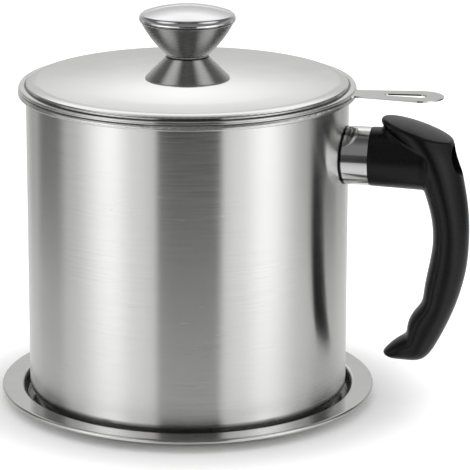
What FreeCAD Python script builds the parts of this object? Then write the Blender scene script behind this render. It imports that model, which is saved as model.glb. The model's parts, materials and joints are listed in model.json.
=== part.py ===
import FreeCAD, Part
import math
import os

Vector = FreeCAD.Vector

# Grease container: a drip tray, a pot with a screwed-on handle, a strainer and a lid with a knob.
# Millimetres. The table is z = 0, the pot's axis is the Z axis, and the handle points along +X.

# ---- Drip tray ----
tray_sheet = 0.7
tray_rim_height = 5.5          # table to the flange's top face
tray_flange_width = 9.0
tray_pot_clearance = 2.0       # pot wall to the tray's recess wall
tray_hem_width = 3.2           # flange's edge, folded back flat under itself
tray_hem_gap = 0.16            # between the two layers of the fold
tray_mouth_bend = 1.1
tray_floor_bend = 2.4

# ---- Pot ----
pot_radius = 62.5              # outside of the wall
pot_height = 123.6             # base to the top of the rolled rim
pot_sheet = 0.6
pot_corner_bend = 6.5
pot_rim_reach = 3.0            # rolled rim beyond the wall
pot_rim_depth = 2.3
pot_rim_return = 1.4
pot_rim_bend = 0.8             # wall into the rim
pot_rim_flat = 1.3             # wall to where the rim's top starts to fall ...
pot_rim_fall = 0.5             # ... by this much, down to the rolled edge
pot_rim_crest_bend = 1.2
pot_base_ring = 10.0           # width of the ring that the pot stands on
pot_base_rise = 0.6            # how far the middle of the base is pressed up
pot_base_slope = 2.5

# ---- Strainer ----
strainer_sheet = 0.6
strainer_flange_overlap = 0.3  # rolled rim beyond the strainer's flange
strainer_wall_clearance = 1.7  # bowl wall to the pot's inner wall
strainer_bead_rise = 1.1       # raised bead that centres the lid
strainer_bead_width = 1.1      # between the bead's two legs
strainer_bead_bend = 0.5
strainer_foot_bend = 0.44      # flange to bead
strainer_depth = 20.5          # flange underside to the floor's underside
strainer_floor_bend = 4.5
strainer_shelf_width = 10.5    # floor ring between the bowl wall and the mesh window
mesh_thickness = 0.5
mesh_overlap = 2.0             # mesh under the shelf
mesh_ring_sheet = 0.5
mesh_ring_gap = 0.35           # mesh edge to the ring's upturned lip
mesh_ring_width = 2.6
mesh_ring_bend = 0.3
mesh_ring_seam = 0.05          # ring's lip to the shelf

# ---- Strainer's pull tab ----
tab_length = 34.6              # flange edge to the tab's tip
tab_root_width = 10.4
tab_end_width = 18.0
tab_root_fillet = 2.0
slot_setback = 6.6             # tab tip to the slot's outer end
slot_length = 16.2
slot_outer_width = 5.2
slot_inner_width = 3.2

# ---- Lid ----
lid_sheet = 0.5
lid_inset = 0.2                # strainer's flange beyond the lid's
lid_bead_clearance = 0.7       # strainer's bead to the lid's inner face, at the foot of its step
lid_step_rise = 2.0            # flange top to the panel's edge
lid_dome_rise = 0.08
lid_foot_bend = 0.45
lid_wall_lean = 0.2            # how far the step's wall leans in
lid_shoulder_bend = 0.5        # wall into the panel's rolled edge
lid_roll_width = 2.0           # step's foot to the middle of the rolled edge
lid_roll_fall = 0.9            # panel to the top of the step's wall
lid_dome_shoulder = 0.72       # share of the panel's radius where the dome turns
lid_dome_bend = 900.0
lid_seat_width = 3.0           # flat of the panel beyond the knob's foot
screw_hole_clearance = 0.3

# ---- Knob ----
knob_sheet = 0.8
knob_base_radius = 16.4
knob_base_height = 9.1
knob_base_rim = 0.3
knob_foot_bend = 0.6
knob_waist_bend = 0.48
knob_waist_radius = 8.2
knob_groove = 0.55             # joint line between the two cones
knob_groove_width = 1.6
knob_body_height = 13.2
knob_body_radius = 17.95
knob_body_belly_share = 0.5
knob_body_belly = 0.75         # bulge of the upper cone beyond a straight side
knob_cap_radius = 18.7
knob_cap_rim_height = 1.15
knob_cap_rise = 5.1
knob_cap_shoulder = 2.4        # radius of the dome's edge
knob_cap_hem = 1.8
knob_cap_tuck = 0.28           # how far the rim has turned in ...
knob_cap_tuck_height = 0.38    # ... at this height above the upper cone
knob_seam = 0.05
knob_insert_radius = 5.5
knob_insert_height = 10.0
knob_insert_roof = 1.5

# ---- Handle ----
handle_drop = 23.9             # top of the rolled rim to the neck's axis
ferrule_radius = 11.3
ferrule_sheet = 0.6
ferrule_length = 9.8           # pot wall to the collar, on the axis
ferrule_wall_gap = 0.15
neck_radius = 11.35            # at the collar
neck_root_radius = 12.2        # inside the grip
neck_length = 28.0
neck_root_round = 8.0
neck_edge_fillet = 0.7
spigot_length = 2.5
spigot_clearance = 0.3
bracket_radius = 10.0
bracket_sheet = 1.2
nut_across_flats = 8.0
nut_height = 5.4
screw_recess_radius = 6.5
screw_recess_setback = 14.5    # collar face to the floor of the screw recess
thumb_rest_width = 23.6
thumb_rest_crown = 1.4         # crest to the thumb rest's sides
thumb_rest_edge_fillet = 1.2
grip_joint_fillet = 1.2        # where the neck runs into the grip
crest_start = (4.5, 16.0)      # crest of the thumb rest, from the collar face and the neck's axis
crest_middle = (17.7, 13.2)
crest_end = (31.1, 7.8)
toe_tip = (6.1, -78.2)
grip_section_points = 16

# Grip sections from the toe up to the thumb rest, from the collar face and the neck's axis:
# back of the grip (x, z), finger side (x, z), half width. The last two lie above the crest, which trims them.
grip_sections = (
    ((7.4, -79.6), (6.8, -76.6), 3.4),
    ((9.7, -80.3), (8.5, -74.8), 5.6),
    ((14.7, -80.4), (11.7, -72.2), 7.8),
    ((21.7, -79.6), (14.7, -69.8), 9.2),
    ((26.3, -74.2), (15.5, -66.0), 9.8),
    ((30.0, -66.9), (17.6, -61.2), 10.0),
    ((33.4, -58.8), (20.7, -56.6), 10.1),
    ((35.7, -51.6), (21.7, -51.0), 10.2),
    ((37.6, -42.9), (23.1, -42.9), 10.3),
    ((38.4, -31.4), (24.6, -31.8), 10.4),
    ((38.0, -20.9), (23.6, -21.4), 10.8),
    ((36.6, -11.5), (20.9, -12.4), 11.2),
    ((34.6, -2.4), (17.6, -4.2), 11.5),
    ((32.8, 3.6), (13.4, 3.4), 11.6),
    ((31.7, 7.0), (8.5, 8.8), 11.7),
    ((31.2, 9.4), (4.8, 12.6), 11.75),
    ((31.1, 11.8), (3.5, 16.2), 11.8),
    ((31.1, 14.2), (3.4, 19.8), 11.8),
)

# ---- Fasteners, M5 ----
screw_radius = 2.5
thread_clearance = 0.05
screw_head_radius = 4.3
screw_head_height = 3.0
screw_head_round = 1.0
screw_end_chamfer = 0.6
screw_end_clearance = 1.2
driver_slot_length = 4.4
driver_slot_width = 1.0
driver_slot_depth = 1.4
washer_radius = 4.9
washer_hole_clearance = 0.2
washer_thickness = 0.9
lock_washer_radius = 4.3
lock_washer_thickness = 1.1
lock_washer_split = 0.9

# ---- Modelling tolerance ----
shortest_edge = 0.001

# ---- Levels and radii that follow ----
tray_recess_radius = pot_radius + tray_pot_clearance
tray_radius = tray_recess_radius + tray_flange_width
pot_base = tray_sheet
rim_top = pot_base + pot_height
rim_radius = pot_radius + pot_rim_reach
handle_axis_height = rim_top - handle_drop
pot_inner_radius = pot_radius - pot_sheet
strainer_flange_radius = rim_radius - strainer_flange_overlap
strainer_flange_top = rim_top + strainer_sheet
strainer_wall_radius = pot_inner_radius - strainer_wall_clearance
strainer_bead_radius = strainer_wall_radius + strainer_bead_width
strainer_floor = rim_top - strainer_depth
mesh_window_radius = strainer_wall_radius - strainer_shelf_width
mesh_radius = mesh_window_radius + mesh_overlap
tab_tip = strainer_flange_radius + tab_length
lid_flange_radius = strainer_flange_radius - lid_inset
lid_flange_top = strainer_flange_top + lid_sheet
lid_step_radius = strainer_bead_radius + lid_bead_clearance + lid_sheet
lid_centre_top = lid_flange_top + lid_step_rise + lid_dome_rise
lid_underside = lid_centre_top - lid_sheet
screw_hole_radius = screw_radius + screw_hole_clearance
knob_waist = lid_centre_top + knob_base_height
knob_body_top = knob_waist + knob_body_height
collar_face = pot_radius + ferrule_length
bracket_face = pot_radius + bracket_sheet
screw_recess_floor = collar_face + screw_recess_setback


def flat_point(radius, height):
    """A point of a profile: distance from the axis, and height."""
    return Vector(radius, 0, height)


def grip_point(place):
    """A point of the grip's side view, measured from the collar face and the neck's axis."""
    return Vector(collar_face + place[0], 0, handle_axis_height + place[1])


def left_of(start, end):
    """Unit vector to the left of the way from start to end, in a side view."""
    way = (end - start).normalize()
    return Vector(-way.z, 0, way.x)


def shifted_path(points, bends, shift):
    """The corners and bend radii of a bent line that is moved sideways."""
    sides = [left_of(points[i], points[i + 1]) for i in range(len(points) - 1)]
    corners = [points[0] + sides[0] * shift]
    radii = []
    for before, after, corner, bend in zip(sides, sides[1:], points[1:], bends):
        corners.append(corner + (before + after) * (shift / (1 + before.dot(after))))
        turns_left = after.z * before.x - after.x * before.z > 0
        radii.append(bend - shift if turns_left else bend + shift)
    corners.append(points[-1] + sides[-1] * shift)
    return corners, radii


def half_turn(before, corner, after):
    """Half the angle by which a bent line turns at a corner."""
    return (corner - before).getAngle(after - corner) / 2


def straight_run(start, end):
    """A straight edge, or none where two bends meet."""
    return [Part.makeLine(start, end)] if start.distanceToPoint(end) > shortest_edge else []


def bent_line(corners, radii):
    """Edges along straight runs that are joined by tangent bends."""
    edges = []
    start = corners[0]
    for i, radius in enumerate(radii):
        corner = corners[i + 1]
        way_in = (corner - corners[i]).normalize()
        way_out = (corners[i + 2] - corner).normalize()
        lean = half_turn(corners[i], corner, corners[i + 2])
        reach = radius * math.tan(lean)
        inwards = (way_out - way_in).normalize()
        middle = corner + inwards * (radius / math.cos(lean) - radius)
        edges += straight_run(start, corner - way_in * reach)
        bend = Part.Arc(corner - way_in * reach, middle, corner + way_out * reach)
        edges.append(bend.toShape())
        start = corner + way_out * reach
    return edges + straight_run(start, corners[-1])


def turned(edges):
    """A solid of revolution about the pot's axis."""
    face = Part.Face(Part.Wire(Part.__sortEdges__(edges)))
    return face.revolve(Vector(0, 0, 0), Vector(0, 0, 1), 360)


def pressed_sheet(profile, bends, thickness):
    """A round pressing: a sheet whose middle line is bent at each corner of the profile."""
    points = [flat_point(radius, height) for radius, height in profile]
    left, left_radii = shifted_path(points, bends, thickness / 2)
    right, right_radii = shifted_path(points, bends, -thickness / 2)
    edges = bent_line(left, left_radii) + bent_line(right, right_radii)
    edges.append(Part.makeLine(left[0], right[0]))
    edges.append(Part.makeLine(left[-1], right[-1]))
    return turned(edges)


def ring(outer_radius, inner_radius, base, height):
    """A flat ring on the pot's axis."""
    outside = Part.makeCylinder(outer_radius, height, Vector(0, 0, base))
    return outside.cut(Part.makeCylinder(inner_radius, height, Vector(0, 0, base)))


def handle_cylinder(radius, start, end):
    """A cylinder along the neck's axis, from one distance from the pot's axis to another."""
    return Part.makeCylinder(radius, end - start, Vector(start, 0, handle_axis_height), Vector(1, 0, 0))


def drip_tray():
    half = tray_sheet / 2
    flange = tray_rim_height - half
    edge = tray_radius - half
    hem_drop = tray_sheet + tray_hem_gap
    profile = (
        (edge - tray_hem_width, flange - hem_drop),
        (edge, flange - hem_drop),
        (edge, flange),
        (tray_recess_radius + half, flange),
        (tray_recess_radius + half, half),
        (0, half),
    )
    bends = (hem_drop / 2, hem_drop / 2, tray_mouth_bend, tray_floor_bend)
    return pressed_sheet(profile, bends, tray_sheet)


def pot_shell():
    half = pot_sheet / 2
    wall = pot_radius - half
    base = pot_base + half
    ring_inside = pot_radius - pot_corner_bend - pot_base_ring
    lip = rim_radius - half
    profile = (
        (0, base + pot_base_rise),
        (ring_inside - pot_base_slope, base + pot_base_rise),
        (ring_inside, base),
        (wall, base),
        (wall, rim_top - half),
        (pot_radius + pot_rim_flat, rim_top - half),
        (lip, rim_top - half - pot_rim_fall),
        (lip, rim_top - pot_rim_depth + half),
        (lip - pot_rim_return, rim_top - pot_rim_depth + half),
    )
    base_bends = (pot_base_slope, pot_base_slope, pot_corner_bend)
    lip_bend = (pot_rim_depth - pot_sheet - pot_rim_fall) / 2
    rim_bends = (pot_rim_bend, pot_rim_crest_bend, lip_bend, lip_bend)
    return pressed_sheet(profile, base_bends + rim_bends, pot_sheet)


def tab_blank():
    """Outline of the pull tab: a root, flaring sides and a round end."""
    end_radius = tab_end_width / 2
    end_centre = tab_tip - end_radius
    root = strainer_flange_radius - pot_rim_reach / 2
    shoulder = Vector(end_centre, end_radius, 0)
    heel = Vector(root, tab_root_width / 2, 0)
    mirror = FreeCAD.Matrix()
    mirror.scale(1, -1, 1)
    far_shoulder = mirror.multVec(shoulder)
    far_heel = mirror.multVec(heel)
    edges = [
        Part.makeLine(far_heel, far_shoulder),
        Part.Arc(far_shoulder, Vector(tab_tip, 0, 0), shoulder).toShape(),
        Part.makeLine(shoulder, heel),
        Part.makeLine(heel, far_heel),
    ]
    blank = Part.Face(Part.Wire(edges)).extrude(Vector(0, 0, strainer_sheet))
    blank.translate(Vector(0, 0, rim_top))
    return blank


def tab_slot():
    """The hanging slot: two round ends of different width joined by straight sides."""
    outer_end = slot_outer_width / 2
    inner_end = slot_inner_width / 2
    outer_centre = tab_tip - slot_setback - outer_end
    inner_centre = tab_tip - slot_setback - slot_length + inner_end
    lean = math.asin((outer_end - inner_end) / (outer_centre - inner_centre))
    side = Vector(-math.sin(lean), math.cos(lean), 0)
    below = Vector(-math.sin(lean), -math.cos(lean), 0)
    outer = Vector(outer_centre, 0, 0)
    inner = Vector(inner_centre, 0, 0)
    edges = [
        Part.makeLine(inner + side * inner_end, outer + side * outer_end),
        Part.Arc(outer + side * outer_end, outer + Vector(outer_end, 0, 0), outer + below * outer_end).toShape(),
        Part.makeLine(outer + below * outer_end, inner + below * inner_end),
        Part.Arc(inner + below * inner_end, inner - Vector(inner_end, 0, 0), inner + side * inner_end).toShape(),
    ]
    slot = Part.Face(Part.Wire(edges)).extrude(Vector(0, 0, 3 * strainer_sheet))
    slot.translate(Vector(0, 0, rim_top - strainer_sheet))
    return slot


def tab_root_edges(bowl):
    """The two short upright edges where the tab's sides leave the flange."""
    root_x = math.sqrt(strainer_flange_radius ** 2 - (tab_end_width / 2) ** 2)
    found = []
    for edge in bowl.Edges:
        box = edge.BoundBox
        upright = box.ZLength > strainer_sheet / 2 and box.XLength < strainer_sheet / 2
        if upright and root_x < box.XMin < strainer_flange_radius and edge.Length < 2 * strainer_sheet:
            found.append(edge)
    return found


def strainer_bowl():
    half = strainer_sheet / 2
    flange = rim_top + half
    outer_leg = strainer_bead_radius - half
    inner_leg = strainer_wall_radius - half
    crown = strainer_flange_top + strainer_bead_rise - half
    floor = strainer_floor + half
    profile = (
        (strainer_flange_radius, flange),
        (outer_leg, flange),
        (outer_leg, crown),
        (inner_leg, crown),
        (inner_leg, floor),
        (mesh_window_radius, floor),
    )
    bends = (strainer_foot_bend, strainer_bead_bend, strainer_bead_bend, strainer_floor_bend)
    bowl = pressed_sheet(profile, bends, strainer_sheet)
    bowl = bowl.fuse(tab_blank()).removeSplitter()
    bowl = bowl.makeFillet(tab_root_fillet, tab_root_edges(bowl))
    return bowl.cut(tab_slot())


def strainer_mesh():
    return Part.makeCylinder(mesh_radius, mesh_thickness, Vector(0, 0, strainer_floor - mesh_thickness))


def mesh_ring():
    half = mesh_ring_sheet / 2
    lip = mesh_radius + mesh_ring_gap + half
    flat = strainer_floor - mesh_thickness - half
    profile = (
        (lip, strainer_floor - mesh_ring_seam),
        (lip, flat),
        (lip - mesh_ring_width, flat),
    )
    return pressed_sheet(profile, (mesh_ring_bend,), mesh_ring_sheet)


def lid_shell():
    half = lid_sheet / 2
    step = lid_step_radius - half
    panel = lid_flange_top + lid_step_rise - half
    turn = step * lid_dome_shoulder
    profile = (
        (lid_flange_radius, lid_flange_top - half),
        (step, lid_flange_top - half),
        (step - lid_wall_lean, panel - lid_roll_fall),
        (step - lid_roll_width, panel),
        (turn, panel + lid_dome_rise * lid_dome_shoulder),
        (knob_base_radius + lid_seat_width, panel + lid_dome_rise),
        (screw_hole_radius, panel + lid_dome_rise),
    )
    foot, shoulder, roll, dome = (flat_point(*place) for place in profile[1:5])
    shoulder_reach = lid_shoulder_bend * math.tan(half_turn(foot, shoulder, roll))
    roll_bend = ((roll - shoulder).Length - shoulder_reach) / math.tan(half_turn(shoulder, roll, dome))
    bends = (lid_foot_bend, lid_shoulder_bend, roll_bend, lid_dome_bend, lid_dome_bend)
    return pressed_sheet(profile, bends, lid_sheet)


def knob_base():
    half = knob_sheet / 2
    foot = knob_base_radius - half
    roof = knob_waist - half
    profile = (
        (foot, lid_centre_top),
        (foot, lid_centre_top + knob_base_rim),
        (knob_waist_radius - half, roof),
        (screw_hole_radius, roof),
    )
    return pressed_sheet(profile, (knob_foot_bend, knob_waist_bend), knob_sheet)


def circle_through(first, second, third):
    """Centre and radius of the circle through three points of a side view."""
    circle = Part.Circle(first, second, third)
    return circle.Center, circle.Radius


def knob_body():
    low = flat_point(knob_waist_radius, knob_waist + knob_groove)
    high = flat_point(knob_body_radius, knob_body_top)
    chord = high - low
    belly = low + chord * knob_body_belly_share + left_of(high, low) * knob_body_belly
    centre, radius = circle_through(low, belly, high)
    inner_radius = radius - knob_sheet
    floor = knob_waist + knob_sheet + knob_groove

    def inner_wall(height):
        return flat_point(centre.x + math.sqrt(inner_radius ** 2 - (height - centre.z) ** 2), height)

    inner_low = inner_wall(floor)
    inner_high = inner_wall(knob_body_top)
    inner_belly = inner_wall((floor + knob_body_top) / 2)
    seat_edge = flat_point(knob_waist_radius - knob_groove_width, knob_waist)
    hole_low = flat_point(screw_hole_radius, knob_waist)
    hole_high = flat_point(screw_hole_radius, floor)
    edges = [
        Part.Arc(low, belly, high).toShape(),
        Part.makeLine(high, inner_high),
        Part.Arc(inner_high, inner_belly, inner_low).toShape(),
        Part.makeLine(inner_low, hole_high),
        Part.makeLine(hole_high, hole_low),
        Part.makeLine(hole_low, seat_edge),
        Part.makeLine(seat_edge, low),
    ]
    return turned(edges)


def dome_profile(radius, shoulder, rise, rim, thinning):
    """Half of a dome's outline: a crown arc and a rounder shoulder that ends upright at the rim."""
    spread = radius - shoulder
    crown = (spread ** 2 + rise ** 2 - shoulder ** 2) / (2 * (rise - shoulder))
    crown_centre = flat_point(0, rim + rise - crown)
    shoulder_centre = flat_point(spread, rim)
    lean = math.atan2(spread, crown - rise)

    def on_arc(centre, arc_radius, angle):
        reach = arc_radius - thinning
        return centre + flat_point(reach * math.sin(angle), reach * math.cos(angle))

    apex = on_arc(crown_centre, crown, 0)
    joint = on_arc(crown_centre, crown, lean)
    edge = on_arc(shoulder_centre, shoulder, math.pi / 2)
    halfway = on_arc(shoulder_centre, shoulder, (lean + math.pi / 2) / 2)
    arcs = [
        Part.Arc(apex, on_arc(crown_centre, crown, lean / 2), joint).toShape(),
        Part.Arc(joint, halfway, edge).toShape(),
    ]
    return arcs, apex, edge


def knob_cap():
    """Domed cap with a rounded rim and a hem that sits on the upper cone."""
    hem_base = knob_body_top + knob_seam
    rim = hem_base + knob_cap_rim_height
    hem_inside = knob_body_radius - knob_cap_hem
    rim_turn = flat_point(knob_cap_radius - knob_cap_tuck, hem_base + knob_cap_tuck_height)
    hem_edge = flat_point(knob_body_radius, hem_base)
    hem_low = flat_point(hem_inside, hem_base)
    hem_high = flat_point(hem_inside, rim)
    outer, outer_apex, outer_edge = dome_profile(knob_cap_radius, knob_cap_shoulder, knob_cap_rise, rim, 0)
    inner, inner_apex, inner_edge = dome_profile(
        knob_cap_radius, knob_cap_shoulder, knob_cap_rise, rim, knob_sheet
    )
    edges = outer + inner
    edges += [
        Part.Arc(outer_edge, rim_turn, hem_edge).toShape(),
        Part.makeLine(hem_edge, hem_low),
        Part.makeLine(hem_low, hem_high),
        Part.makeLine(hem_high, inner_edge),
        Part.makeLine(inner_apex, outer_apex),
    ]
    return turned(edges)


def knob_insert():
    base = knob_waist + knob_sheet + knob_groove
    boss = Part.makeCylinder(knob_insert_radius, knob_insert_height, Vector(0, 0, base))
    bore_depth = knob_insert_height - knob_insert_roof
    return boss.cut(Part.makeCylinder(screw_radius + thread_clearance, bore_depth, Vector(0, 0, base)))


def driver_cross():
    """Crossed driver slots, opening at z = 0 and cut upwards."""
    slot = Part.makeBox(driver_slot_length, driver_slot_width, driver_slot_depth)
    slot.translate(Vector(-driver_slot_length / 2, -driver_slot_width / 2, 0))
    crossing = slot.copy()
    crossing.rotate(Vector(0, 0, 0), Vector(0, 0, 1), 90)
    return slot.fuse(crossing)


def pan_head_screw(shank_length):
    """A screw that stands on its head: the head's outer face is z = 0 and the shank points up."""
    head = Part.makeCylinder(screw_head_radius, screw_head_height)
    rim = [edge for edge in head.Edges if edge.BoundBox.ZMax < screw_head_round]
    head = head.makeFillet(screw_head_round, rim)
    shank = Part.makeCylinder(screw_radius, screw_head_height + shank_length)
    shank = shank.makeChamfer(screw_end_chamfer, [shank.Edges[0]])
    return head.fuse(shank).removeSplitter().cut(driver_cross())


def flat_washer():
    return ring(washer_radius, screw_radius + washer_hole_clearance, 0, washer_thickness)


def split_washer():
    body = ring(lock_washer_radius, screw_radius + washer_hole_clearance, 0, lock_washer_thickness)
    gap = Part.makeBox(2 * lock_washer_radius, lock_washer_split, lock_washer_thickness)
    gap.translate(Vector(0, -lock_washer_split / 2, 0))
    return body.cut(gap)


def under_lid(shape, drop):
    """Moves a fastener so that its base lies this far under the lid."""
    placed = shape.copy()
    placed.translate(Vector(0, 0, lid_underside - drop))
    return placed


def in_handle(shape, start):
    """Turns an upright fastener along the neck, with its base at this distance from the pot's axis."""
    placed = shape.copy()
    placed.rotate(Vector(0, 0, 0), Vector(0, 1, 0), -90)
    placed.translate(Vector(start, 0, handle_axis_height))
    return placed


def handle_bracket():
    plate = handle_cylinder(bracket_radius, pot_radius - bracket_radius, pot_radius + bracket_sheet)
    shell_height = 2 * bracket_radius
    shell = ring(pot_radius + bracket_sheet, pot_radius, handle_axis_height - bracket_radius, shell_height)
    hole = handle_cylinder(screw_hole_radius, pot_radius - bracket_radius, pot_radius + 2 * bracket_sheet)
    return plate.common(shell).cut(hole)


def handle_nut():
    corner_radius = nut_across_flats / math.sqrt(3)
    corners = []
    for step in range(7):
        angle = math.radians(60 * step)
        corners.append(
            Vector(
                bracket_face,
                corner_radius * math.sin(angle),
                handle_axis_height + corner_radius * math.cos(angle),
            )
        )
    block = Part.Face(Part.makePolygon(corners)).extrude(Vector(nut_height, 0, 0))
    return block.cut(handle_cylinder(screw_radius + thread_clearance, bracket_face, bracket_face + nut_height))


def handle_ferrule():
    start = pot_radius - ferrule_radius
    tube = handle_cylinder(ferrule_radius, start, collar_face)
    tube = tube.cut(handle_cylinder(ferrule_radius - ferrule_sheet, start, collar_face))
    wall_base = handle_axis_height - 2 * ferrule_radius
    wall = Part.makeCylinder(pot_radius + ferrule_wall_gap, 4 * ferrule_radius, Vector(0, 0, wall_base))
    return tube.cut(wall)


def grip_section(back, finger_side, half_width):
    """One oval section of the grip, across the line from its back to its finger side."""
    outer = grip_point(back)
    inner = grip_point(finger_side)
    centre = (outer + inner) * 0.5
    across = Vector(0, half_width, 0)
    points = []
    for step in range(grip_section_points):
        angle = 2 * math.pi * step / grip_section_points
        points.append(centre + (outer - centre) * math.cos(angle) + across * math.sin(angle))
    oval = Part.BSplineCurve()
    oval.interpolate(Points=points, PeriodicFlag=True)
    return Part.Wire(oval.toShape())


def grip_stem():
    sections = [grip_section(*section) for section in grip_sections]
    return Part.makeLoft([Part.Vertex(grip_point(toe_tip))] + sections, True, False)


def under_crest():
    """A disc whose rim is the thumb rest's surface: curved along the crest and bowed across it."""
    crest = [grip_point(place) for place in (crest_start, crest_middle, crest_end)]
    crest_centre, crest_radius = circle_through(*crest)
    half_width = thumb_rest_width / 2
    bow_radius = (half_width ** 2 + thumb_rest_crown ** 2) / (2 * thumb_rest_crown)
    reach = 2 * half_width
    drop = bow_radius - math.sqrt(bow_radius ** 2 - reach ** 2)
    top = crest_centre + Vector(0, 0, crest_radius)
    near = top + Vector(0, -reach, -drop)
    far = top + Vector(0, reach, -drop)
    near_axis = crest_centre + Vector(0, -reach, 0)
    far_axis = crest_centre + Vector(0, reach, 0)
    edges = [
        Part.Arc(near, top, far).toShape(),
        Part.makeLine(far, far_axis),
        Part.makeLine(far_axis, near_axis),
        Part.makeLine(near_axis, near),
    ]
    return Part.Face(Part.Wire(edges)).revolve(crest_centre, Vector(0, 1, 0), 360)


def joint_edges(body, first, second):
    """The edges of a fused or cut body where the skins of two shapes meet."""
    skins = [Part.makeShell(shape.Faces) for shape in (first, second)]
    found = []
    for edge in body.Edges:
        middle = Part.Vertex(edge.valueAt((edge.FirstParameter + edge.LastParameter) / 2))
        if all(middle.distToShape(skin)[0] < shortest_edge for skin in skins):
            found.append(edge)
    return found


def neck_cone():
    """The round neck, with a small round at the collar and a large one inside the grip."""
    start = Vector(collar_face, 0, handle_axis_height)
    neck = Part.makeCone(neck_radius, neck_root_radius, neck_length, start, Vector(1, 0, 0))
    collar_edge = [edge for edge in neck.Edges if edge.BoundBox.XMax < collar_face + shortest_edge]
    root_edge = [edge for edge in neck.Edges if edge.BoundBox.XMin > collar_face + neck_length - shortest_edge]
    return neck.makeFillet(neck_edge_fillet, collar_edge).makeFillet(neck_root_round, root_edge)


def handle_grip():
    neck = neck_cone()
    stem = grip_stem()
    disc = under_crest()
    side = 4 * neck_radius
    above = Part.makeBox(side, side, side, Vector(collar_face, -side / 2, handle_axis_height)).cut(disc)
    body = neck.fuse(stem).cut(above)
    body = body.makeFillet(thumb_rest_edge_fillet, joint_edges(body, stem, disc))
    body = body.makeFillet(grip_joint_fillet, joint_edges(body, stem, neck))
    spigot_radius = ferrule_radius - ferrule_sheet - spigot_clearance
    spigot = handle_cylinder(spigot_radius, collar_face - spigot_length, collar_face + spigot_length)
    bore = handle_cylinder(screw_hole_radius, collar_face - spigot_length, screw_recess_floor)
    recess = handle_cylinder(screw_recess_radius, screw_recess_floor, collar_face + 2 * neck_length)
    return body.fuse(spigot).cut(bore).cut(recess).removeSplitter()


def knob_fasteners():
    """Washer, spring washer and screw, stacked under the lid."""
    washer_drop = washer_thickness
    lock_drop = washer_drop + lock_washer_thickness
    head_drop = lock_drop + screw_head_height
    insert_bore_top = knob_waist + knob_sheet + knob_groove + knob_insert_height - knob_insert_roof
    shank = insert_bore_top - screw_end_clearance - (lid_underside - lock_drop)
    return {
        "knob_washer": under_lid(flat_washer(), washer_drop),
        "knob_lock_washer": under_lid(split_washer(), lock_drop),
        "knob_screw": under_lid(pan_head_screw(shank), head_drop),
    }


def handle_fasteners():
    """Washer, spring washer and screw, stacked in the grip's recess."""
    washer_back = screw_recess_floor + washer_thickness
    lock_back = washer_back + lock_washer_thickness
    head_back = lock_back + screw_head_height
    shank = lock_back - bracket_face - screw_end_clearance
    return {
        "handle_washer": in_handle(flat_washer(), washer_back),
        "handle_lock_washer": in_handle(split_washer(), lock_back),
        "handle_screw": in_handle(pan_head_screw(shank), head_back),
    }


def build():
    pieces = {
        "drip_tray": drip_tray(),
        "pot_shell": pot_shell(),
        "handle_bracket": handle_bracket(),
        "handle_nut": handle_nut(),
        "handle_ferrule": handle_ferrule(),
        "handle_grip": handle_grip(),
        "strainer_bowl": strainer_bowl(),
        "strainer_mesh": strainer_mesh(),
        "mesh_ring": mesh_ring(),
        "lid_shell": lid_shell(),
        "knob_base": knob_base(),
        "knob_body": knob_body(),
        "knob_cap": knob_cap(),
        "knob_insert": knob_insert(),
    }
    pieces.update(knob_fasteners())
    pieces.update(handle_fasteners())
    return pieces


os.makedirs("parts", exist_ok=True)
for node, shape in build().items():
    print(node, len(shape.Solids), shape.isValid(), round(shape.Volume, 1))
    shape.exportStep("parts/" + node + ".step")
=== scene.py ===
import json
import math

import bpy
from mathutils import Matrix, Vector


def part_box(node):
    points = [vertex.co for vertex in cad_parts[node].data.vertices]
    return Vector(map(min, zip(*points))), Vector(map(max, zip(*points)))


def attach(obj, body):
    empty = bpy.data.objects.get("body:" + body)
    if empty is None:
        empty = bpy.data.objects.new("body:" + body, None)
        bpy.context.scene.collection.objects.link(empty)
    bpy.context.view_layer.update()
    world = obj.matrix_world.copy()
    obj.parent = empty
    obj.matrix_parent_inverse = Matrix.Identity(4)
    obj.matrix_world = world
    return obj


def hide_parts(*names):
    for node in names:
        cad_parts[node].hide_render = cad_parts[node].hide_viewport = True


# Dresses the grease container: brushed, satin and polished steel, a woven strainer mesh, a moulded grip
# and a white studio. Metres, in the frame of the solids: the pot's axis is Z and the handle points along +X.
#
# The camera and all matt surfaces see a white table in a white room. Reflections alone see a studio: a far
# room, a ring of screens round the table and a soft light behind the lid. Degrees round count from the
# camera, positive to its right, with 180 straight behind the object.

# ---- Camera ----
CAMERA_AZIMUTH = 12.7            # degrees from -Y towards +X
CAMERA_DISTANCE = 1.09398        # from the pot's axis, level
CAMERA_HEIGHT = 0.37189
CAMERA_PITCH = 15.691            # degrees below the horizon
CAMERA_PAN = 0.97                # degrees to the right of the pot's axis
CAMERA_ROLL = 0.172
SENSOR_WIDTH = 36.0
LENS = 221.93
CLIP = (0.01, 50)

# ---- White room and table ----
ROOM_LIGHT = 1.0
TABLE_HALF = 6.0
TABLE_WHITE = 0.95
LIFT_REACH = (0.075, 0.105)      # from the origin, where a glow for the camera lifts the table's white ...
LIFT = (0.05, 0.35)              # ... from one strength to the other
FADE_REACH = (0.07, 0.50)        # from the origin, where the table fades out of the reflections ...
FADE = (0.38, 1.0)               # ... from one share to the other

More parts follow.
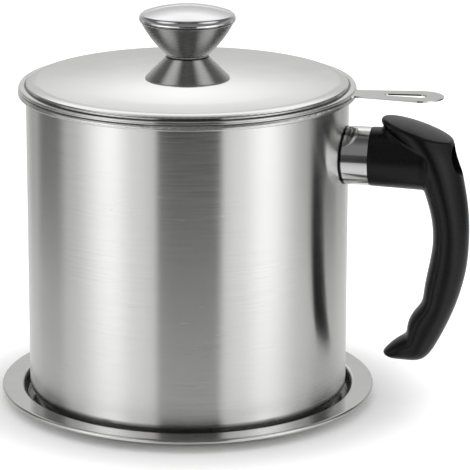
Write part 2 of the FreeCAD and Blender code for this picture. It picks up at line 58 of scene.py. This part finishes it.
# ---- Far room: brightness by degrees round, or by degrees of elevation ----
SURROUND = (                     # low down: soft boxes on either side of a dark flag, and dim flanks
    (-180, 0.80), (-167, 0.70), (-140, 0.36), (-125, 0.20), (-108, 0.22), (-90, 0.58), (-57, 1.40),
    (-35, 0.84), (-25, 0.66), (-20, 0.02), (20, 0.02), (25, 0.72), (35, 0.90), (57, 1.42), (90, 0.58),
    (108, 0.32), (125, 0.26), (140, 0.38), (167, 0.70), (180, 0.80),
)
SURROUND_TOP = (0.0, 0.06)       # sine of the elevation between which the loft and the sides take over
LOFT = (                         # above the camera
    (0, 0.20), (50, 0.21), (64, 0.10), (77, 0.05), (83, 0.16), (90, 0.35),
)
SIDE = (                         # to the left and right
    (0, 0.40), (10, 0.38), (20, 0.30), (30, 0.14), (50, 0.12), (64, 0.08), (77, 0.05), (83, 0.16), (90, 0.35),
)
SIDE_EDGE = (68, 100)            # degrees round between which the sides begin
BACKDROP = (                     # behind the object
    (0, 0.58), (12, 0.62), (20, 0.65), (29, 0.88), (36, 1.18), (45, 1.18), (52, 0.74), (60, 0.32), (70, 0.10),
    (77, 0.05), (83, 0.16), (90, 0.35),
)
BACKDROP_EDGE = (138, 162)       # degrees round between which the backdrop begins
BACKDROP_FOOT = (0.0, 0.08)      # sine of the elevation between which it comes up
LAMP_PLACE = (84, 57)            # two round lamps overhead: degrees round on either side, and elevation
LAMP_REACH = (22, 2)             # degrees from its middle between which a lamp begins and is full
LAMP = 0.95

# ---- Ring of screens round the table ----
SCREENS = (                      # brightness by degrees round
    (-180, 0.60), (-128, 0.45), (-114, 0.14), (-98, 0.14), (-84, 0.55), (-52, 1.36), (-32, 0.82),
    (-22, 0.66), (-17, 0.07), (-6, 0.02), (19.5, 0.02), (24.5, 0.72), (32, 0.88), (52, 1.38), (84, 0.50),
    (98, 0.16), (114, 0.16), (128, 0.45), (180, 0.60),
)
SCREEN_RADIUS = 0.35
SCREEN_STEPS = 120
SCREEN_TOP = (0.165, 0.195)      # heights between which the screens fade out
SCREEN_BACK = (122, 140)         # degrees round between which they end behind the object
GAIN_HEIGHT = (0.085, 0.12)      # heights between which they grow brighter ...
GAIN = (1.0, 1.4)                # ... by this factor

# ---- Soft light behind the lid ----
HALO_HALF = 0.3
HALO_DISTANCE = 0.35
HALO_HEIGHT = 0.214
HALO_SPREAD = (0.066, 0.0081)    # sideways and upwards
HALO_BRIGHTNESS = 1.5

# ---- Steel ----
GRAIN = (50, 50, 3000)           # how often tool marks repeat per metre along X, Y and Z
POT_GRAIN = (45, 45, 2300)
CLOUDS = 22.0                    # and how often broad clouds do
MARK_SHARE = 0.65                # share of the tool marks in the roughness; the clouds have the rest
NOISE_RANGE = (0.3, 0.7)         # what the noise textures mostly give
DARK_TONE = 0.94                 # share of the colour that is left in the darkest marks
MARK_STRENGTH = 0.003
MARK_RELIEF = 0.00002
QUARTER_TURN = 0.25              # turns the highlights' stretch across the tool marks

# ---- Black plastic ----
PITS = 2200.0                    # how often its pits repeat per metre
PIT_TONE = (0.001, 0.003)
PIT_ROUGHNESS = (0.27, 0.35)
PIT_STRENGTH = 0.2
PIT_RELIEF = 0.00004
PLASTIC_SHINE = 0.28             # specular level

# ---- Painted shade at the joints ----
# Shade that the crease, the recesses, the rim's underside and the joints would hold, painted into the steel
# as dark lines. The line's middle from an edge or level of the solids, half its width, half its width with
# its soft edges, and the share of the colour that is left in it.
RIM_WIDTH = 0.0030                              # rolled rim beyond the pot's wall
LID_CREASE_SHADE = (-0.0023, 0.0001, 0.0006, 0.06)    # from the lid's edge
STRAINER_JOINT_SHADE = (0.0, 0.0001, 0.0002, 0.04)    # from the top of the pot's rim
UNDER_RIM_SHADE = (-0.0015, 0.0004, 0.0010, 0.12)     # from the rim's edge
TRAY_RECESS_SHADE = (0.0005, 0.0018, 0.0025, 0.16)    # from the pot's wall
FERRULE_END_SHADE = (0.0001, 0.0004, 0.0008, 0.05)    # from the pot's wall
KNOB_GROOVE_SHADE = (0.0002, 0.0005, 0.0009, 0.04)    # from the foot of the knob's upper cone
CAP_JOINT_SHADE = (0.0, 0.0005, 0.0010, 0.25)         # from the foot of the knob's cap

# ---- Rounded edges of the sheets ----
# Thickness, and how far the middle lies inside an edge and above a level of the solids.
LID_HEM = (0.0005, 0.0002, 0.00033)             # the lid's edge and foot
STRAINER_HEM = (0.0005, -0.0001, 0.00027)       # the lid's edge and the top of the pot's rim
TRAY_HEM = (0.0018, 0.00085, -0.00085)          # the tray's edge and top
RIM_HEM = (0.0012, 0.00057, -0.00173)           # the rim's edge and top
HEM_STEPS = 360
HEM_SIDES = 12

# ---- Strainer cloth ----
WIRE = 0.00024
WIRE_PITCH = 0.00125
WIRE_WAVE = 0.000115             # how far a wire rises at each crossing
WIRE_SIDES = 5


def node(tree, kind, inputs=None, **settings):
    """Adds a shader node, sets its properties and its inputs: a value, or another node's output."""
    made = tree.nodes.new(kind)
    for name, value in settings.items():
        setattr(made, name, value)
    for name, value in (inputs or {}).items():
        if isinstance(value, bpy.types.NodeSocket):
            tree.links.new(value, made.inputs[name])
        else:
            made.inputs[name].default_value = value
    return made


def maths(tree, operation, first, second=0.0, third=0.0):
    return node(tree, "ShaderNodeMath", {0: first, 1: second, 2: third}, operation=operation).outputs[0]


def mix(tree, share, first, second):
    """The first colour or brightness where the share is 0 and the second where it is 1."""
    return node(tree, "ShaderNodeMix", {"Factor": share, 6: first, 7: second}, data_type="RGBA").outputs[2]


def rise(tree, value, reach, ends=(0.0, 1.0), shape="SMOOTHSTEP"):
    """Goes from one of the ends to the other while the value crosses the reach."""
    span = {"From Min": reach[0], "From Max": reach[1], "To Min": ends[0], "To Max": ends[1]}
    return node(tree, "ShaderNodeMapRange", {"Value": value, **span}, interpolation_type=shape).outputs[0]


def ramp(tree, place, stops, interpolation="LINEAR"):
    """A grey ramp over 0..1. Each stop is a position and a brightness."""
    made = node(tree, "ShaderNodeValToRGB", {"Fac": place})
    elements = made.color_ramp.elements
    made.color_ramp.interpolation = interpolation
    while len(elements) < len(stops):
        elements.new(0.5)
    for element, (position, value) in zip(elements, stops):
        element.position = position
        element.color = (value, value, value, 1)
    return made.outputs["Color"]


def from_camera(tree, place):
    """Turns a place or a direction until +X points at the camera's side. Gives x, y, z and the azimuth."""
    turn = {"Vector": place, "Angle": math.radians(90 - CAMERA_AZIMUTH)}
    turned = node(tree, "ShaderNodeVectorRotate", turn, rotation_type="Z_AXIS").outputs[0]
    x, y, z = node(tree, "ShaderNodeSeparateXYZ", {0: turned}).outputs
    return x, y, z, maths(tree, "ARCTAN2", y, x)


def by_azimuth(tree, azimuth, stops):
    share = maths(tree, "MULTIPLY_ADD", azimuth, 1 / (2 * math.pi), 0.5)
    return ramp(tree, share, [((degrees + 180) / 360, value) for degrees, value in stops], "EASE")


def by_elevation(tree, elevation, stops):
    share = maths(tree, "MULTIPLY", elevation, 2 / math.pi)
    return ramp(tree, share, [(degrees / 90, value) for degrees, value in stops])


def in_radians(degrees):
    return [math.radians(angle) for angle in degrees]


def cosines(degrees):
    return [math.cos(angle) for angle in in_radians(degrees)]


def add_mesh(name, verts, faces):
    mesh = bpy.data.meshes.new(name)
    mesh.from_pydata(verts, [], faces)
    made = bpy.data.objects.new(name, mesh)
    bpy.context.scene.collection.objects.link(made)
    return made


def blank_material(name):
    """A material without nodes, and its node tree."""
    material = bpy.data.materials.new(name)
    material.use_nodes = True
    material.node_tree.nodes.clear()
    return material, material.node_tree


def soft_light(tree, share, colour, strength):
    """A light that is see-through where its share is below one."""
    glow = node(tree, "ShaderNodeEmission", {"Color": colour, "Strength": strength}).outputs[0]
    clear = node(tree, "ShaderNodeBsdfTransparent").outputs[0]
    surface = node(tree, "ShaderNodeMixShader", {0: share, 1: clear, 2: glow}).outputs[0]
    node(tree, "ShaderNodeOutputMaterial", {"Surface": surface})


def show_only_in_reflections(shown):
    shown.visible_camera = shown.visible_diffuse = False
    shown.visible_shadow = shown.visible_transmission = False


def build_camera():
    pitch, pan, roll, turn = in_radians((CAMERA_PITCH, CAMERA_PAN, CAMERA_ROLL, CAMERA_AZIMUTH))
    camera = bpy.data.objects.new("camera", bpy.data.cameras.new("camera"))
    bpy.context.scene.collection.objects.link(camera)
    camera.data.sensor_width = SENSOR_WIDTH
    camera.data.lens = LENS
    camera.data.clip_start, camera.data.clip_end = CLIP
    place = Vector((math.sin(turn), -math.cos(turn), 0)) * CAMERA_DISTANCE + Vector((0, 0, CAMERA_HEIGHT))
    aim = Matrix.Rotation(turn - pan, 4, "Z") @ Matrix.Rotation(math.pi / 2 - pitch, 4, "X")
    camera.matrix_world = Matrix.Translation(place) @ aim @ Matrix.Rotation(roll, 4, "Z")
    bpy.context.scene.camera = camera


def overhead_lamps(tree, x, y, z):
    """Two round lamps, one the mirror image of the other, by the direction that a ray takes."""
    azimuth, elevation = in_radians(LAMP_PLACE)
    level = math.cos(elevation)
    lamp_way = (math.cos(azimuth) * level, math.sin(azimuth) * level, math.sin(elevation))
    mirrored = node(tree, "ShaderNodeCombineXYZ", {0: x, 1: maths(tree, "ABSOLUTE", y), 2: z}).outputs[0]
    pair = {0: mirrored, 1: lamp_way}
    near = node(tree, "ShaderNodeVectorMath", pair, operation="DOT_PRODUCT").outputs["Value"]
    return rise(tree, near, cosines(LAMP_REACH), (0.0, LAMP))


def far_room(tree):
    """Brightness of the far room by direction."""
    x, y, z, azimuth = from_camera(tree, node(tree, "ShaderNodeTexCoord").outputs["Generated"])
    off = maths(tree, "ABSOLUTE", azimuth)
    elevation = maths(tree, "ARCSINE", z)
    sideways = rise(tree, off, in_radians(SIDE_EDGE))
    upper = mix(tree, sideways, by_elevation(tree, elevation, LOFT), by_elevation(tree, elevation, SIDE))
    upper = maths(tree, "ADD", upper, overhead_lamps(tree, x, y, z))
    front = mix(tree, rise(tree, z, SURROUND_TOP), by_azimuth(tree, azimuth, SURROUND), upper)
    behind = rise(tree, off, in_radians(BACKDROP_EDGE))
    above = rise(tree, z, BACKDROP_FOOT, shape="LINEAR")
    return mix(tree, maths(tree, "MULTIPLY", behind, above), front, by_elevation(tree, elevation, BACKDROP))


def build_world():
    """White to the camera and to matt surfaces, and the far room for reflections."""
    world = bpy.data.worlds.new("studio")
    bpy.context.scene.world = world
    world.use_nodes = True
    tree = world.node_tree
    tree.nodes.clear()
    path = node(tree, "ShaderNodeLightPath").outputs
    plain = node(tree, "ShaderNodeBackground", {"Color": (1, 1, 1, 1), "Strength": ROOM_LIGHT}).outputs[0]
    studio = node(tree, "ShaderNodeBackground", {"Color": far_room(tree), "Strength": 1.0}).outputs[0]
    shine = maths(tree, "MAXIMUM", path["Is Glossy Ray"], path["Is Transmission Ray"])
    surface = node(tree, "ShaderNodeMixShader", {0: shine, 1: plain, 2: studio}).outputs[0]
    node(tree, "ShaderNodeOutputWorld", {"Surface": surface})


def build_floor():
    """A white table. In reflections it fades out away from the object, and the studio shows through it."""
    half = TABLE_HALF
    corners = [(-half, -half, 0), (half, -half, 0), (half, half, 0), (-half, half, 0)]
    floor = add_mesh("floor", corners, [(0, 1, 2, 3)])
    material, tree = blank_material("table_white")
    path = node(tree, "ShaderNodeLightPath").outputs
    white = (TABLE_WHITE, TABLE_WHITE, TABLE_WHITE, 1)
    matt = node(tree, "ShaderNodeBsdfDiffuse", {"Color": white}).outputs[0]
    place = node(tree, "ShaderNodeNewGeometry").outputs["Position"]
    reach = node(tree, "ShaderNodeVectorMath", {0: place}, operation="LENGTH").outputs["Value"]
    lift = maths(tree, "MULTIPLY", path["Is Camera Ray"], rise(tree, reach, LIFT_REACH, LIFT))
    glow = node(tree, "ShaderNodeEmission", {"Color": (1, 1, 1, 1), "Strength": lift}).outputs[0]
    table = node(tree, "ShaderNodeAddShader", {0: matt, 1: glow}).outputs[0]
    fade = maths(tree, "MULTIPLY", path["Is Glossy Ray"], rise(tree, reach, FADE_REACH, FADE))
    clear = node(tree, "ShaderNodeBsdfTransparent").outputs[0]
    surface = node(tree, "ShaderNodeMixShader", {0: fade, 1: table, 2: clear}).outputs[0]
    node(tree, "ShaderNodeOutputMaterial", {"Surface": surface})
    floor.data.materials.append(material)


def build_halo():
    """A soft oval light behind the lid. It fades to nothing at its edge."""
    half = HALO_HALF
    corners = [(-half, 0, -half), (half, 0, -half), (half, 0, half), (-half, 0, half)]
    halo = add_mesh("halo", corners, [(0, 1, 2, 3)])
    turn = math.radians(CAMERA_AZIMUTH)
    halo.location = (-math.sin(turn) * HALO_DISTANCE, math.cos(turn) * HALO_DISTANCE, HALO_HEIGHT)
    halo.rotation_euler = (0, 0, turn)
    show_only_in_reflections(halo)
    material, tree = blank_material("halo_light")
    where = node(tree, "ShaderNodeTexCoord").outputs["Object"]
    shrink = (1 / HALO_SPREAD[0], 1.0, 1 / HALO_SPREAD[1])
    scaled = node(tree, "ShaderNodeMapping", {"Vector": where, "Scale": shrink}).outputs[0]
    out = node(tree, "ShaderNodeVectorMath", {0: scaled}, operation="LENGTH").outputs["Value"]
    share = maths(tree, "EXPONENT", maths(tree, "MULTIPLY", maths(tree, "MULTIPLY", out, out), -1.0))
    soft_light(tree, share, (1, 1, 1, 1), HALO_BRIGHTNESS)
    halo.data.materials.append(material)


def build_screens():
    """The soft boxes and dark flags near the object, as an upright ring that is open at the back."""
    steps = SCREEN_STEPS
    turns = [2 * math.pi * k / steps for k in range(steps)]
    out = [(SCREEN_RADIUS * math.cos(turn), SCREEN_RADIUS * math.sin(turn)) for turn in turns]
    verts = [(x, y, z) for z in (0.0, SCREEN_TOP[1]) for x, y in out]
    faces = [(k, (k + 1) % steps, steps + (k + 1) % steps, steps + k) for k in range(steps)]
    screens = add_mesh("screens", verts, faces)
    show_only_in_reflections(screens)
    material, tree = blank_material("screen_light")
    x, y, z, azimuth = from_camera(tree, node(tree, "ShaderNodeTexCoord").outputs["Object"])
    low = rise(tree, z, SCREEN_TOP, (1.0, 0.0))
    front = rise(tree, maths(tree, "ABSOLUTE", azimuth), in_radians(SCREEN_BACK), (1.0, 0.0))
    gain = rise(tree, z, GAIN_HEIGHT, GAIN, "LINEAR")
    soft_light(tree, maths(tree, "MULTIPLY", low, front), by_azimuth(tree, azimuth, SCREENS), gain)
    screens.data.materials.append(material)


def paint_shade_line(tree, tone, where, measure, level, shade_line):
    """Paints shade into the tone: leaves only a share of it in a line at a radius from the axis, or at a
    height.
    """
    shift, inner, outer, share = shade_line
    if measure == "radius":
        level_part = {0: where, 1: (1, 1, 0)}
        across = node(tree, "ShaderNodeVectorMath", level_part, operation="MULTIPLY").outputs[0]
        at = node(tree, "ShaderNodeVectorMath", {0: across}, operation="LENGTH").outputs["Value"]
    else:
        at = node(tree, "ShaderNodeSeparateXYZ", {0: where}).outputs["Z"]
    off = maths(tree, "ABSOLUTE", maths(tree, "SUBTRACT", at, level + shift))
    left = rise(tree, off, (inner, outer), (share, 1.0))
    return node(tree, "ShaderNodeVectorMath", {0: tone, "Scale": left}, operation="SCALE").outputs[0]


def steel(name, colour, roughness, anisotropy, grain=GRAIN, spread=0.015, shade_line=None):
    """Stainless steel with fine tool marks round the axis.

    spread is how far its roughness strays, and the last argument is a line of painted shade at a joint: what
    it is measured by ("radius" or "height"), the edge or level that it belongs to, and its sizes.
    """
    material = bpy.data.materials.new(name)
    material.use_nodes = True
    tree = material.node_tree
    shader = tree.nodes["Principled BSDF"]
    where = node(tree, "ShaderNodeTexCoord").outputs["Object"]
    stretched = node(tree, "ShaderNodeMapping", {"Vector": where, "Scale": grain}).outputs[0]
    fine = {"Vector": stretched, "Scale": 1.0, "Detail": 3.0, "Roughness": 0.6}
    marks = node(tree, "ShaderNodeTexNoise", fine).outputs["Fac"]
    broad = {"Vector": where, "Scale": CLOUDS, "Detail": 2.0}
    clouds = node(tree, "ShaderNodeTexNoise", broad).outputs["Fac"]
    mixed = maths(tree, "MULTIPLY_ADD", clouds, 1 - MARK_SHARE, maths(tree, "MULTIPLY", marks, MARK_SHARE))
    rough = rise(tree, mixed, NOISE_RANGE, (roughness - spread, roughness + spread), "LINEAR")
    dark = tuple(channel * DARK_TONE for channel in colour)
    tone = mix(tree, rise(tree, marks, NOISE_RANGE, shape="LINEAR"), (*dark, 1), (*colour, 1))
    # painted shade: the tone is darkened in a line where a joint, crease or recess would lie in shadow
    if shade_line:
        tone = paint_shade_line(tree, tone, where, *shade_line)
    bump = {"Height": marks, "Strength": MARK_STRENGTH, "Distance": MARK_RELIEF}
    relief = node(tree, "ShaderNodeBump", bump).outputs[0]
    tangent = node(tree, "ShaderNodeTangent", direction_type="RADIAL", axis="Z").outputs[0]
    shader.inputs["Metallic"].default_value = 1.0
    shader.inputs["Anisotropic"].default_value = anisotropy
    shader.inputs["Anisotropic Rotation"].default_value = QUARTER_TURN
    tree.links.new(tone, shader.inputs["Base Color"])
    tree.links.new(rough, shader.inputs["Roughness"])
    tree.links.new(relief, shader.inputs["Normal"])
    tree.links.new(tangent, shader.inputs["Tangent"])
    return material


def black_plastic():
    """Moulded plastic with fine pits."""
    material = bpy.data.materials.new("black_plastic")
    material.use_nodes = True
    tree = material.node_tree
    shader = tree.nodes["Principled BSDF"]
    where = node(tree, "ShaderNodeTexCoord").outputs["Object"]
    pits = node(tree, "ShaderNodeTexNoise", {"Vector": where, "Scale": PITS, "Detail": 2.0}).outputs["Fac"]
    tone = ramp(tree, pits, list(zip(NOISE_RANGE, PIT_TONE)))
    rough = rise(tree, pits, NOISE_RANGE, PIT_ROUGHNESS, "LINEAR")
    bump = {"Height": pits, "Strength": PIT_STRENGTH, "Distance": PIT_RELIEF}
    relief = node(tree, "ShaderNodeBump", bump).outputs[0]
    shader.inputs["Specular IOR Level"].default_value = PLASTIC_SHINE
    tree.links.new(tone, shader.inputs["Base Color"])
    tree.links.new(rough, shader.inputs["Roughness"])
    tree.links.new(relief, shader.inputs["Normal"])
    return material


def add_piece(name, verts, faces, body, finish):
    """Adds a smooth closed piece that moves with a body."""
    piece = add_mesh(name, verts, faces)
    piece.data.polygons.foreach_set("use_smooth", [True] * len(faces))
    piece.data.materials.append(finish)
    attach(piece, body)
    return piece


def tube(path, across, up, radius, sides, closed=False):
    """Points and faces of a round tube along a path, given two directions square to it at each point."""
    verts = []
    for place, side in zip(path, across):
        for k in range(sides):
            turn = 2 * math.pi * k / sides
            verts.append(place + side * (radius * math.cos(turn)) + up * (radius * math.sin(turn)))
    rings = len(path)
    faces = []
    for i in range(rings if closed else rings - 1):
        j = (i + 1) % rings
        for k in range(sides):
            m = (k + 1) % sides
            faces.append((i * sides + k, i * sides + m, j * sides + m, j * sides + k))
    if not closed:
        faces.append(tuple(range(sides)))
        faces.append(tuple((rings - 1) * sides + k for k in reversed(range(sides))))
    return verts, faces


def build_hem(name, body, edge, level, hem, finish):
    """The rounded edge of a sheet, all the way round."""
    thickness, inset, lift = hem
    turns = [2 * math.pi * i / HEM_STEPS for i in range(HEM_STEPS)]
    out = [Vector((math.cos(turn), math.sin(turn), 0)) for turn in turns]
    path = [way * (edge - inset) + Vector((0, 0, level + lift)) for way in out]
    verts, faces = tube(path, out, Vector((0, 0, 1)), thickness / 2, HEM_SIDES, closed=True)
    add_piece(name, verts, faces, body, finish)


def wire_path(off, half, middle, up, along_x):
    """The middle line of a wire that rises and dips in turn. At its middle it's up (1) or down (-1)."""
    steps = max(2, int(half / (WIRE_PITCH / 2)))
    path = []
    for j in range(-steps, steps + 1):
        run = j * WIRE_PITCH / 2
        lift = middle + math.cos(math.pi * run / WIRE_PITCH) * up * WIRE_WAVE
        path.append(Vector((run, off, lift) if along_x else (off, run, lift)))
    return path


def build_weave(finish):
    """The strainer's woven wire cloth: each wire goes over one and under the next, and ends at the edge."""
    low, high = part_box("strainer_mesh")
    radius = (high[0] - low[0]) / 2 - WIRE / 2
    middle = (high[2] + low[2]) / 2
    count = int(radius / WIRE_PITCH)
    verts, faces = [], []
    for along_x in (True, False):
        side = Vector((0, 1, 0)) if along_x else Vector((1, 0, 0))
        for i in range(-count, count + 1):
            off = i * WIRE_PITCH
            half = math.sqrt(radius * radius - off * off)
            up = 1 if (i % 2 == 0) == along_x else -1
            path = wire_path(off, half, middle, up, along_x)
            more, sides = tube(path, [side] * len(path), Vector((0, 0, 1)), WIRE / 2, WIRE_SIDES)
            start = len(verts)
            verts += more
            faces += [tuple(start + k for k in face) for face in sides]
    weave = add_piece("strainer_weave", verts, faces, "strainer", finish)
    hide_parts("strainer_mesh")


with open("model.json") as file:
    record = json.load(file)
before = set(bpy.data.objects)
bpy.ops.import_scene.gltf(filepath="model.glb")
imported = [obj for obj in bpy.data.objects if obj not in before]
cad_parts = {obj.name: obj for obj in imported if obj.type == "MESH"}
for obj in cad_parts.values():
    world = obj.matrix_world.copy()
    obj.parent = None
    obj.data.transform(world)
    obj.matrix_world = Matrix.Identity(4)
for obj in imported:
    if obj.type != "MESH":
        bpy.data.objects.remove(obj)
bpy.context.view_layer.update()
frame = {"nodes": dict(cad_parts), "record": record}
bpy.context.scene.view_settings.view_transform = "Standard"
build_camera()
build_world()
build_floor()
build_halo()
build_screens()

# ---- Edges and levels of the solids ----
lid_edge, lid_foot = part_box("lid_shell")[1][0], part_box("lid_shell")[0][2]
rim_edge, rim_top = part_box("pot_shell")[1][0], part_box("pot_shell")[1][2]
tray_edge, tray_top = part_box("drip_tray")[1][0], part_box("drip_tray")[1][2]
wall = rim_edge - RIM_WIDTH
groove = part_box("knob_body")[0][2]
cap_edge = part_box("knob_cap")[0][2]

# ---- Finishes: colour, roughness and anisotropy, by material slot and then for single nodes ----
finishes = {
    "brushed_steel": steel("brushed_steel", (0.74, 0.74, 0.73), 0.25, 1.0),
    "satin_steel": steel("satin_steel", (0.66, 0.66, 0.65), 0.15, 0.4),
    "lid_steel": steel("lid_steel", (0.80, 0.80, 0.79), 0.10, 0.0, spread=0.01),
    # knob_steel: painted shade, a dark line in the groove at the foot of the knob's upper cone
    "knob_steel": steel("knob_steel", (0.47, 0.47, 0.46), 0.27, 0.8, shade_line=("height", groove, KNOB_GROOVE_SHADE)),
    "polished_steel": steel("polished_steel", (0.80, 0.80, 0.80), 0.12, 0.3),
    "plain_steel": steel("plain_steel", (0.60, 0.60, 0.60), 0.3, 0.0),
    "wire_mesh": steel("wire_mesh", (0.62, 0.62, 0.60), 0.3, 0.0),
    "black_plastic": black_plastic(),
}
special = {
    # the lid's panel: painted shade, a dark line in the crease at the foot of the lid's wall
    "lid_shell": steel(
        "lid_panel_painted_shade", (0.80, 0.80, 0.79), 0.10, 0.0, spread=0.01, shade_line=("radius", lid_edge, LID_CREASE_SHADE)
    ),
    # the pot's wall: painted shade, a dark line under the rolled rim
    "pot_shell": steel(
        "pot_wall_painted_shade", (0.75, 0.75, 0.74), 0.235, 1.0, POT_GRAIN, 0.045, shade_line=("radius", rim_edge, UNDER_RIM_SHADE)
    ),
    # the tray: painted shade, a dark ring in the recess round the pot's foot
    "drip_tray": steel("tray_steel_painted_shade", (0.69, 0.69, 0.68), 0.13, 0.4, shade_line=("radius", wall, TRAY_RECESS_SHADE)),
    # the ferrule: painted shade, a dark line where it meets the pot's wall
    "handle_ferrule": steel(
        "ferrule_steel_painted_shade", (0.80, 0.80, 0.80), 0.12, 0.3, shade_line=("radius", wall, FERRULE_END_SHADE)
    ),
    # the knob's cap: painted shade, a dark line at its foot
    "knob_cap": steel("cap_steel_painted_shade", (0.80, 0.80, 0.80), 0.12, 0.3, shade_line=("height", cap_edge, CAP_JOINT_SHADE)),
}
# the strainer's rounded edge: painted shade, a dark line at the joint where it sits on the pot's rim
strainer_edge_painted_shade = steel(
    "strainer_edge_painted_shade", (0.84, 0.84, 0.83), 0.12, 0.0, shade_line=("height", rim_top, STRAINER_JOINT_SHADE)
)
for part in frame["record"]["subparts"]:
    shown = frame["nodes"][part["node"]]
    shown.data.materials.clear()
    shown.data.materials.append(special.get(part["node"], finishes[part["material_slot"]]))
    if part["node"].startswith("knob_"):
        shown.visible_glossy = False    # the photo's lid is bright where it would mirror the dark knob

build_weave(finishes["wire_mesh"])
build_hem("strainer_hem", "strainer", lid_edge, rim_top, STRAINER_HEM, strainer_edge_painted_shade)
build_hem("tray_hem", "tray", tray_edge, tray_top, TRAY_HEM, finishes["satin_steel"])
build_hem("rim_hem", "pot", rim_edge, rim_top, RIM_HEM, finishes["brushed_steel"])
build_hem("lid_hem", "lid", lid_edge, lid_foot, LID_HEM, finishes["lid_steel"])
